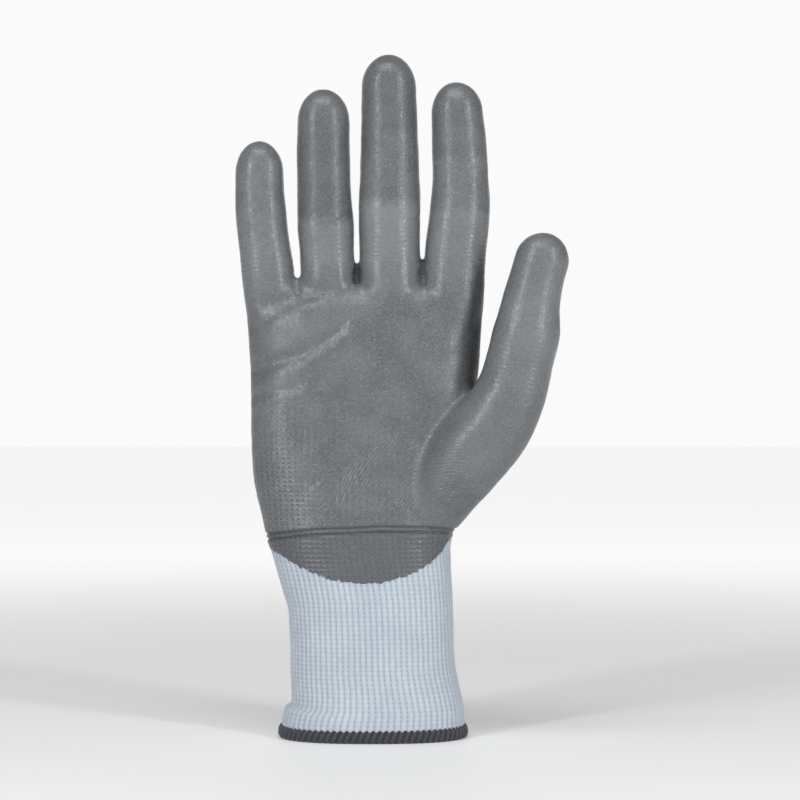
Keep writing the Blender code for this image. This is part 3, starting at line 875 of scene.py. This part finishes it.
def stitch_pattern(finish):
    """Height of the stitches, the dark gaps between them and a number for each stitch."""
    column, row, in_column = finish.knit_map()
    from_middle = finish.math("ABSOLUTE", finish.math("SUBTRACT", in_column, 0.5))
    slanted = finish.math("ADD", row, finish.math("MULTIPLY", from_middle, 0.9))
    loop = finish.math("SINE", finish.math("MULTIPLY", slanted, 2 * math.pi))
    loop = finish.math("MULTIPLY_ADD", loop, 0.5, 0.5)
    leg = finish.math("SINE", finish.math("MULTIPLY", in_column, math.pi))
    leg = finish.math("POWER", leg, 0.6)
    height = finish.math("MULTIPLY", leg, finish.math("MULTIPLY_ADD", loop, 0.45, 0.55))
    from_edge = finish.math("SUBTRACT", 0.5, from_middle)
    beside = finish.math("SUBTRACT", 1.0, finish.blur_step(from_edge, 0.06, 0.30))
    dot = finish.math("MULTIPLY", beside, finish.blur_step(loop, 0.40, 0.85))
    floor = finish.node("ShaderNodeCombineXYZ")
    finish.feed(floor.inputs[0], finish.math("FLOOR", column))
    finish.feed(floor.inputs[1], finish.math("FLOOR", slanted))
    each = finish.node("ShaderNodeTexWhiteNoise", noise_dimensions="2D")
    finish.feed(each.inputs["Vector"], floor.outputs[0])
    return height, dot, beside, each.outputs["Value"]


def knit_finish():
    finish = Finish("light_knit")
    height, dot, beside, each = stitch_pattern(finish)
    patches = finish.grain(70.0, 3.0)
    fibre = finish.grain(1500.0, 3.0, 0.7)
    colour = finish.mix(finish.blur_step(patches, 0.35, 0.68), (0.450, 0.510, 0.580), (0.505, 0.565, 0.625))
    colour = finish.mix(finish.span(each, 0.0, 0.30), colour, (0.36, 0.42, 0.50))
    colour = finish.mix(finish.span(fibre, 0.0, 0.34), colour, (0.70, 0.76, 0.80))
    # Painted shade: the gaps between the wales and the dots in them are painted darker.
    colour = finish.mix(finish.math("MULTIPLY", beside, 0.34), colour, (0.27, 0.32, 0.39))
    colour = finish.mix(finish.math("MULTIPLY", dot, 0.34), colour, (0.20, 0.235, 0.285))
    relief = finish.bump(height, 0.00035, 0.55)
    relief = finish.bump(fibre, 0.00012, 0.45, relief)
    finish.set(base_color=colour, roughness=0.92, normal=relief)
    finish.shader.inputs["Sheen Weight"].default_value = 0.15
    finish.shader.inputs["Sheen Roughness"].default_value = 0.5
    return finish.material


def coat_finish():
    finish = Finish("grey_dipped_coating")
    _, row, in_column = finish.knit_map()
    level = finish.math("SINE", finish.math("MULTIPLY", row, 2 * math.pi))
    arcs = finish.math("SINE", finish.math("MULTIPLY", finish.tag("ball_rows"), 2 * math.pi))
    between_rows = finish.math("MULTIPLY", finish.math("SUBTRACT", arcs, level), finish.tag("ball"))
    rows = finish.math("MULTIPLY_ADD", finish.math("ADD", level, between_rows), 0.5, 0.5)
    from_middle = finish.math("ABSOLUTE", finish.math("SUBTRACT", in_column, 0.5))
    from_side = finish.math("SUBTRACT", 0.5, from_middle)
    gap = finish.math("SUBTRACT", 1.0, finish.blur_step(from_side, 0.05, 0.34))
    dots = finish.math("MULTIPLY", gap, finish.blur_step(rows, 0.35, 0.9))
    row_tag, column_tag = finish.tag("rows"), finish.tag("columns")
    knit_through = finish.math(
        "ADD",
        finish.math("MULTIPLY", rows, row_tag),
        finish.math("MULTIPLY", finish.math("MULTIPLY", dots, -1.0), column_tag),
    )
    speckle = finish.grain(1900.0, 2.0, 0.6)
    pebble = finish.grain(620.0, 3.0, 0.6)
    cloud = finish.grain(85.0, 3.0)
    colour = finish.mix(finish.blur_step(cloud, 0.32, 0.70), (0.104, 0.112, 0.119), (0.134, 0.143, 0.151))
    specks = finish.span(finish.blur_step(speckle, 0.50, 0.68), 0.0, 0.34)
    colour = finish.mix(specks, colour, (0.36, 0.38, 0.395))
    pits = finish.span(finish.blur_step(pebble, 0.58, 0.72), 0.0, 0.22)
    colour = finish.mix(pits, colour, (0.10, 0.108, 0.116))
    # Painted light and shade: lighter coating where the light falls on the digits and palm, darker where
    # shade falls above some creases.
    pale = finish.tag("pale")
    colour = finish.mix(finish.math("MAXIMUM", pale, 0.0), colour, (0.212, 0.226, 0.240))
    darker = finish.math("MAXIMUM", finish.math("MULTIPLY", pale, -1.0), 0.0)
    colour = finish.mix(darker, colour, (0.062, 0.066, 0.070))
    thin = finish.tag("thin")
    colour = finish.mix(finish.math("MULTIPLY", thin, 0.62), colour, (0.098, 0.106, 0.120))
    # Painted shade: the gaps between the knit's columns and the troughs between its rows are painted
    # darker.
    dark = finish.math("MULTIPLY", dots, column_tag)
    colour = finish.mix(finish.math("MULTIPLY", dark, 0.75), colour, (0.055, 0.060, 0.072))
    troughs = finish.math("MULTIPLY", finish.math("SUBTRACT", 1.0, rows), row_tag)
    colour = finish.mix(finish.math("MULTIPLY", troughs, 0.22), colour, (0.08, 0.088, 0.098))
    # Painted shade: the palm's side in the fork of the thumb is painted nearly black.
    pool = finish.tag("pool")
    colour = finish.mix(finish.math("MULTIPLY", pool, 0.88), colour, (0.012, 0.012, 0.013))
    # Painted shade: the welt's grooves are painted darker.
    groove = finish.math("MULTIPLY", finish.tag("groove"), 0.75)
    colour = finish.mix(groove, colour, (0.040, 0.044, 0.052))
    relief = finish.bump(knit_through, 0.00028, 0.75)
    relief = finish.bump(pebble, 0.00030, 0.24, relief)
    relief = finish.bump(speckle, 0.00014, 0.36, relief)
    shine = finish.math("MULTIPLY_ADD", finish.math("MAXIMUM", pale, 0.0), -0.08, 0.25)
    gloss = finish.math("MULTIPLY_ADD", finish.blur_step(pebble, 0.3, 0.75), 0.20, shine)
    finish.set(base_color=colour, roughness=gloss, normal=relief)
    finish.shader.inputs["Specular IOR Level"].default_value = 0.5
    return finish.material


def thread_finish():
    finish = Finish("navy_overlock_thread")
    fibre = finish.grain(2600.0, 2.0, 0.6)
    strand = finish.tag("strand")
    colour = finish.mix(finish.span(fibre, 0.0, 0.8), (0.045, 0.046, 0.060), (0.120, 0.120, 0.140))
    # Painted shade: the thread is painted darker between its wrapped strands.
    colour = finish.mix(finish.math("MULTIPLY", strand, 0.65), (0.016, 0.019, 0.028), colour)
    finish.set(base_color=colour, roughness=0.85, normal=finish.bump(fibre, 0.00012, 0.6))
    finish.shader.inputs["Sheen Weight"].default_value = 0.2
    return finish.material


def elastic_finish():
    finish = Finish("covered_elastic")
    where = finish.node("ShaderNodeTexCoord").outputs["Object"]
    wound = finish.grain(1800.0, 2.0, 0.5, where)
    colour = finish.mix(wound, (0.52, 0.53, 0.52), (0.80, 0.80, 0.77))
    finish.set(base_color=colour, roughness=0.7, normal=finish.bump(wound, 0.0001, 0.5))
    return finish.material


def studio_finish():
    finish = Finish("studio_white")
    where = finish.node("ShaderNodeTexCoord").outputs["Object"]
    colour = finish.mix(finish.grain(3.0, 2.0, 0.5, where), (0.86, 0.86, 0.86), (0.87, 0.87, 0.87))
    away = finish.node("ShaderNodeVectorMath", operation="LENGTH")
    finish.feed(away.inputs[0], where)
    # Painted light: the floor glows, faintly near the glove and more strongly further off.
    lit = finish.node("ShaderNodeMapRange", interpolation_type="SMOOTHSTEP")
    for socket, value in zip(lit.inputs, (away.outputs["Value"], *FLOOR_REACH, *FLOOR_LIGHT)):
        finish.feed(socket, value)
    finish.set(base_color=colour, roughness=0.6, emission_strength=lit.outputs[0])
    finish.shader.inputs["Emission Color"].default_value = (1, 1, 1, 1)
    return finish.material


# ---------------------------------------------------------------- pieces
def knit_liner(name, sheet, wraps, material):
    number = len(sheet.points)
    outside = np.full(number, LINER_DROP)
    return wall(name, sheet, outside, outside + LINER_WALL, wraps, material)


def coating(name, sheet, cover, wraps, material):
    """The dipped skin over part of a sheet, thinning out towards its own edge."""
    sheet.tags["cover"] = cover
    coat = sheet.where(cover)
    edge = 1 - ease(coat.tags.pop("cover"), 0.0, EDGE_REACH)
    del sheet.tags["cover"]
    inside = np.full(len(coat.points), COAT_WALL)
    return wall(name, coat, edge * (COAT_WALL - EDGE_WALL), inside, wraps, material)


def bend(piece, first, second, start, end, slot, nodes):
    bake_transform(piece)
    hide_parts(*nodes)


def make_digit(digit, sheet, segments, knit, coat):
    """The stretches of one digit, each across one knuckle, from the web to the tip."""
    sheet.tags["knit"] = digit.knit(sheet.points)
    tip = in_mm(sheet.points)[2].max()
    _, _, along = digit.measure(sheet.points)
    sheet.tags["rows"] = 0.16 * (1 - ease(along, 0, 26)) + 0.10
    sheet.tags["columns"] = np.full(len(along), 0.10)
    x, _, z = in_mm(sheet.points)
    # Painted light and shade on the front of each digit only, the side the light falls on.
    front = ease(-sheet.normals[:, 1], 0.15, 0.8)
    sheet.tags["pale"] = front * digit_painted_light(digit.name, x, z)
    # Painted shade: nearly black on the side facing the thumb, deep in its fork.
    sheet.tags["pool"] = painted_fork_shade_of(sheet)
    cuts = [zone[1] / 2 + after[0] / 2 for zone, after in zip(digit.zones, digit.zones[1:])]
    bodies = ["palm"] + [f"{digit.name}_{segment}" for segment in segments]
    for index, segment in enumerate(segments):
        _, _, along = digit.measure(sheet.points)
        part = sheet
        if index:
            part = part.where(along - cuts[index - 1])
        if index < len(cuts):
            _, _, along = digit.measure(part.points)
            part = part.where(cuts[index] - along)
        start, end = (digit.places[0] + digit.along * edge * MM for edge in digit.zones[index])
        name = f"{digit.name}_{segment}"
        liner = knit_liner(name + "_knit", part, digit.wales(), knit)
        bend(liner, bodies[index], bodies[index + 1], start, end, "knit_liner", [name + "_liner"])
        skin = coating(name + "_dip", part, digit.cover(part.points, tip), digit.wales(), coat)
        bend(skin, bodies[index], bodies[index + 1], start, end, "palm_coating", [name + "_coating"])


def cut_finger_off(sheet, digit, number):
    """A finger's own part of the skin, and a measure of the rest."""
    x, _, z = in_mm(sheet.points)
    side = x < FINGERS_END
    if number > 0:
        px, pz, lean = FINGER_PARTINGS[number - 1]
        side &= x > px + (z - pz) * lean
    if number < len(FINGER_PARTINGS):
        px, pz, lean = FINGER_PARTINGS[number]
        side &= x <= px + (z - pz) * lean
    _, _, along = digit.measure(sheet.points)
    return np.where(side & (z > FINGERS_FROM), along - digit.zones[0][0], NOWHERE)


def hand_tags(sheet):
    x, y, z = in_mm(sheet.points)
    sheet.tags["knit"] = hand_knit(sheet.points, HAND_COURSE)
    tongue = 1 - ease(z, 74.5, 77.5)
    from_ball = np.hypot(x - BALL_CENTRE[0], z - BALL_CENTRE[1])
    ball = (1 - ease(from_ball, 41, 52)) * ease(from_ball, 2, 8) * ease(z, 79, 86)
    low = 1 - ease(z, 84, 128)
    left = 1 - ease(x, -44, -28)
    sheet.tags["rows"] = np.clip(0.10 + 0.20 * ball + 0.14 * low + 0.85 * tongue, 0, 1)
    sheet.tags["columns"] = np.clip(0.12 + 0.50 * low * left + 0.15 * low + 0.60 * tongue, 0, 1)
    sheet.tags["thin"] = tongue
    # Painted light: lighter coating over the finger roots, the pad below the ring and little fingers and
    # the ball of the thumb, where the light falls.
    roots = np.interp(x, (-60, -48, -27, -4, 20, 32), (0.35, 0.35, 0.25, 0.42, 0.38, 0.2))
    upper = ease(z, 158, 174) * roots
    pad = 0.25 * np.exp(-(((x + 34) / 14) ** 2) - ((z - 151) / 6) ** 2)
    ball_pale = 0.30 * np.exp(-(((x - 30) / 12) ** 2) - ((z - 112) / 22) ** 2)
    sheet.tags["pale"] = upper + pad + ball_pale
    # Painted shade: nearly black on the palm's side that faces the thumb, deep in the fork.
    sheet.tags["pool"] = painted_fork_shade_of(sheet)
    sheet.tags["ball"] = ball
    sheet.tags["ball_rows"] = from_ball / BALL_COURSE
    sheet.tags["groove"] = np.clip(groove_depth(sheet.points), 0, 1)


def stitch_height(column, row):
    """Relief of plain knit: a column of loops between two rows of gaps, 0 to 1."""
    across = np.abs(column % 1 - 0.5)
    loop = 0.5 + 0.5 * np.sin(2 * np.pi * (row + 0.9 * across))
    leg = np.sin(np.pi * (column % 1)) ** 0.6
    gap = np.exp(-(((0.5 - across) / 0.16) ** 2)) * loop
    return leg * (0.6 + 0.4 * loop) - 0.55 * gap


def ring_on_skin(tree, heights, sides):
    """Points and normals of the skin on level rings, from the middle of the back round."""
    sections = np.array(HAND_SECTIONS, float)
    points = np.empty((len(heights), sides, 3))
    normals = np.empty_like(points)
    for row, height in enumerate(heights):
        left, right, depth = (np.interp(height, sections[:, 0], sections[:, i]) for i in (1, 2, 3))
        centre = Vector(((left + right) / 2, 0, height)) * MM + Vector(HAND_MIDDLE)
        wide, deep = (right - left) / 2 * MM, depth / 2 * MM
        spread = np.interp(np.arange(sides) / sides, *ring_table(wide / deep))
        for column, angle in enumerate(spread):
            sine, cosine = math.sin(angle), math.cos(angle)
            across = math.copysign(abs(sine) ** (2 / HAND_SQUARENESS), sine) * wide
            out = Vector((across, math.copysign(abs(cosine) ** (2 / HAND_SQUARENESS), cosine) * deep, 0))
            hit, normal, _, _ = tree.ray_cast(centre + out * 1.6, -out.normalized())
            if hit is None:
                hit, normal = centre + out, out.normalized()
            points[row, column] = hit
            normals[row, column] = normal
    return points, normals


def grid_faces(rows, sides):
    """Quads of rings that close round, facing outwards when rings go upwards."""
    first = np.arange(rows - 1)[:, None] * sides + np.arange(sides)[None, :]
    second = np.arange(rows - 1)[:, None] * sides + (np.arange(sides)[None, :] + 1) % sides
    return np.stack([first, first + sides, second + sides, second], -1).reshape(-1, 4)


def closed_grid(rows, sides):
    """Quads of rings that close round both ways, as on a hoop."""
    ring, column = np.arange(rows)[:, None], np.arange(sides)[None, :]
    after_ring, after_column = (ring + 1) % rows, (column + 1) % sides
    corners = [
        after_ring * sides + column, after_ring * sides + after_column,
        ring * sides + after_column, ring * sides + column,
    ]
    return np.stack(corners, -1).reshape(-1, 4)


def quad_mesh(name, points, faces, tags, wraps, material):
    """A mesh object from quads, shaded smooth all over."""
    corners = points[faces]
    crossed = np.cross(corners[:, 2] - corners[:, 0], corners[:, 3] - corners[:, 1])
    smooth = np.zeros_like(points)
    for corner in range(4):
        np.add.at(smooth, faces[:, corner], crossed)
    smooth = unit(smooth)
    normals = smooth[faces].reshape(-1, 3)
    return finish_mesh(name, points, faces.tolist(), normals, tags, wraps, material)


def make_cuff(tree, knit):
    """The cuff: stitch by stitch relief outside, a plain wall inside, open at both ends."""
    sides = HAND_WALES * WALE_SIDES
    heights = np.linspace(CUFF_FOOT, CUFF_TOP, CUFF_RINGS)
    points, normals = ring_on_skin(tree, heights, sides)
    for _ in range(2):
        normals = (np.roll(normals, 1, 1) + normals + np.roll(normals, -1, 1)) / 3
    normals /= np.linalg.norm(normals, axis=2)[..., None]
    column = np.broadcast_to(np.arange(sides)[None, :] / WALE_SIDES, points.shape[:2])
    row = np.broadcast_to((heights / CUFF_COURSE)[:, None], points.shape[:2])
    relief = STITCH_RELIEF * stitch_height(column, row) - STITCH_SINK
    tuck = CUFF_TUCK * ease(heights, CUFF_TOP - TUCK_REACH, CUFF_TOP)[:, None]
    outer = points + normals * (relief - LINER_DROP - tuck)[..., None] * MM
    pick = np.unique(np.linspace(0, len(heights) - 1, INSIDE_RINGS).astype(int))[::-1]
    inner = points[pick] - normals[pick] * (LINER_DROP + LINER_WALL) * MM
    rings = np.concatenate([outer, inner])
    total = len(rings)
    flat = rings.reshape(-1, 3)
    faces = grid_faces(total, sides)
    closing = np.stack(
        [
            (total - 1) * sides + np.arange(sides),
            np.arange(sides),
            (np.arange(sides) + 1) % sides,
            (total - 1) * sides + (np.arange(sides) + 1) % sides,
        ],
        1,
    )
    faces = np.concatenate([faces, closing])
    columns = np.concatenate([column, column[pick]]).ravel()
    rows = np.concatenate([row, row[pick]]).ravel()
    tags = {"knit": np.stack([columns, rows], 1), "rest": flat}
    return quad_mesh("cuff_rib_knit", flat, faces, tags, HAND_WALES, knit)


def make_hem(tree, thread):
    """The overlocked edge: thread wrapped over the cuff's raw edge, stitch after stitch."""
    sides = HEM_WRAPS * WRAP_SIDES
    base, normal = ring_on_skin(tree, [2.6], sides)
    base, normal = base[0], normal[0]
    normal[:, 2] = 0
    for _ in range(6):
        normal = (np.roll(normal, 1, 0) + normal + np.roll(normal, -1, 0)) / 3
    normal = unit(normal)
    base[:, 2] = 0
    turned = np.arange(sides) / WRAP_SIDES
    peak = np.abs(((turned + STRAND_LEAN) % 1) - 0.5) * 2
    rings, strands, knit = [], [], []
    for step in range(HEM_AROUND):
        angle = 2 * np.pi * step / HEM_AROUND
        out, up = math.cos(angle), math.sin(angle)
        thick = HEM_OUT if out > 0 else HEM_IN
        lean = turned + STRAND_LEAN * up * (1 if out >= 0 else -1)
        strand = 0.5 + 0.5 * np.cos(2 * np.pi * lean)
        tall = HEM_TALL + LOOP_RISE * max(up, 0) ** 2 * (1 - peak)
        x_out = math.copysign(abs(out) ** HEM_ROUNDING, out) * thick + (STRAND_OUT * strand - 0.2) * out
        height = HEM_HEIGHT + math.copysign(abs(up) ** HEM_ROUNDING, up) * tall
        height = np.maximum(height + (STRAND_UP * strand - 0.1) * up, 0.0)
        ring = base + normal * ((x_out - HEM_MIDDLE) * MM)[:, None]
        ring[:, 2] += height * MM
        rings.append(ring)
        strands.append(strand)
        knit.append(np.stack([turned, np.full(sides, step / HEM_AROUND * 4)], 1))
    flat = np.concatenate(rings)
    tags = {"knit": np.concatenate(knit), "rest": flat, "strand": np.concatenate(strands)}
    return quad_mesh("overlocked_hem", flat, closed_grid(HEM_AROUND, sides), tags, HEM_WRAPS, thread)


def make_yarn(tree, number, height, material):
    """One elastic yarn, laid round the inside of the cuff and held by every other wale."""
    sides = HAND_WALES * 4
    base, normal = ring_on_skin(tree, [height], sides)
    base, normal = base[0], normal[0]
    waves = np.sin(np.pi * np.arange(sides) / 4)
    middle = base - normal * ((LINER_DROP + LINER_WALL + YARN_RADIUS + 0.05) * MM)
    middle[:, 2] += 0.12 * MM * waves
    rings, facing = [], []
    for step in range(YARN_SIDES):
        angle = 2 * np.pi * step / YARN_SIDES
        away = normal * math.cos(angle) + np.array((0, 0, 1)) * math.sin(angle)
        rings.append(middle + away * YARN_RADIUS * MM)
        facing.append(away)
    flat, facing = np.concatenate(rings), np.concatenate(facing)
    faces = closed_grid(YARN_SIDES, sides)
    knit = np.stack([np.tile(np.arange(sides) / 4, YARN_SIDES), np.repeat(np.arange(YARN_SIDES), sides)], 1)
    tags = {"knit": knit.astype(float), "rest": flat}
    normals = facing[faces].reshape(-1, 3)
    name = f"laid_in_elastic_{number}"
    return finish_mesh(name, flat, faces.tolist(), normals, tags, HAND_WALES, material)


def make_glove():
    skin = glove_skin()
    mesh = skin.data
    mesh.calc_loop_triangles()
    points = mesh_points(mesh)
    faces = np.empty(len(mesh.loop_triangles) * 3, int)
    mesh.loop_triangles.foreach_get("vertices", faces)
    faces = faces.reshape(-1, 3)
    normals = normals_of(points, faces)
    points = points + normals * (fold_heights(points, normals) * MM)[:, None]
    normals = normals_of(points, faces)
    bpy.data.objects.remove(skin)
    tags = {"rest": points, "knit": np.zeros((len(points), 2))}
    tags.update({tag: np.zeros(len(points)) for tag in ("rows", "columns", "thin", "pale", "pool")})
    whole = Sheet(points, faces, normals, tags)
    tree = BVHTree.FromPolygons(points.tolist(), faces.tolist())

    knit, coat = knit_finish(), coat_finish()
    palm = whole
    for number, name in enumerate(FINGERS):
        digit = Digit(name, ("base", "middle", "end"))
        values = cut_finger_off(palm, digit, number)
        make_digit(digit, palm.where(values), ("proximal", "middle", "distal"), knit, coat)
        palm = palm.where(-values)
    thumb = Digit("thumb", ("base", "end"))
    across, _, along = thumb.measure(palm.points)
    thumbward = (across > THUMB_SIDE) & (in_mm(palm.points)[0] > THUMB_FROM)
    values = np.where(thumbward, along - thumb.zones[0][0], NOWHERE)
    make_digit(thumb, palm.where(values), ("proximal", "distal"), knit, coat)
    palm = palm.where(-values)

    hand_tags(palm)
    start, end = ((0, HAND_Y, height * MM) for height in WRIST_ZONE)
    liner = knit_liner("palm_knit", palm.where(in_mm(palm.points)[2] - PALM_FOOT), HAND_WALES, knit)
    bend(liner, "palm", "cuff", start, end, "knit_liner", ["palm_liner"])
    skin = coating("palm_dip", palm, palm_cover(palm.points), HAND_WALES, coat)
    bend(skin, "palm", "cuff", start, end, "palm_coating", ["palm_coating", "wrist_coating"])
    cuff = make_cuff(tree, knit)
    bend(cuff, "palm", "cuff", start, end, "knit_liner", ["cuff_knit"])
    hem = make_hem(tree, thread_finish())
    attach(hem, "cuff")
    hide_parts("cuff_hem")
    elastic = elastic_finish()
    for number, height in enumerate(YARN_HEIGHTS, 1):
        yarn = make_yarn(tree, number, height, elastic)
        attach(yarn, "cuff")
        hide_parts(f"cuff_elastic_yarn_{number}")


# ---------------------------------------------------------------- studio
def area_light(name, place, size, power):
    data = bpy.data.lights.new(name, "AREA")
    data.shape = "RECTANGLE"
    data.size, data.size_y = size
    data.energy = power
    lamp = bpy.data.objects.new(name, data)
    bpy.context.scene.collection.objects.link(lamp)
    lamp.location = place
    lamp.rotation_euler = (Vector(LIT_PLACE) - Vector(place)).to_track_quat("-Z", "Y").to_euler()
    return lamp


def studio():
    bpy.ops.object.select_all(action="DESELECT")
    bpy.ops.mesh.primitive_plane_add(size=12, location=(0, 0, 0))
    floor = bpy.context.object
    floor.name = "studio_floor"
    floor.data.materials.append(studio_finish())
    world = bpy.data.worlds.new("studio")
    world.use_nodes = True
    tree = world.node_tree
    facing = tree.nodes.new("ShaderNodeSeparateXYZ")
    tree.links.new(tree.nodes.new("ShaderNodeTexCoord").outputs["Generated"], facing.inputs[0])
    backdrop = tree.nodes.new("ShaderNodeMapRange")
    backdrop.interpolation_type = "SMOOTHSTEP"
    levels = (*BACKDROP_FACING, ROOM_LIGHT, BACKDROP_LIGHT)
    for socket, value in zip(list(backdrop.inputs)[1:5], levels):
        socket.default_value = value
    tree.links.new(facing.outputs[1], backdrop.inputs[0])
    tree.links.new(backdrop.outputs[0], tree.nodes["Background"].inputs["Strength"])
    tree.nodes["Background"].inputs["Color"].default_value = (1, 1, 1, 1)
    bpy.context.scene.world = world
    for name, (place, size, power) in SOFTBOXES.items():
        area_light(name, place, size, power)


def camera():
    data = bpy.data.cameras.new("camera")
    data.lens = 120
    data.sensor_width = 36
    cam = bpy.data.objects.new("camera", data)
    bpy.context.scene.collection.objects.link(cam)
    field = FIELD * MM
    distance = field * data.lens / data.sensor_width
    cam.location = (0, HAND_Y - 0.010 - distance, CAMERA_HEIGHT * MM)
    cam.rotation_euler = (math.radians(90), 0, 0)
    bpy.context.scene.camera = cam


bpy.context.scene.view_settings.view_transform = "Standard"
make_glove()
studio()
camera()
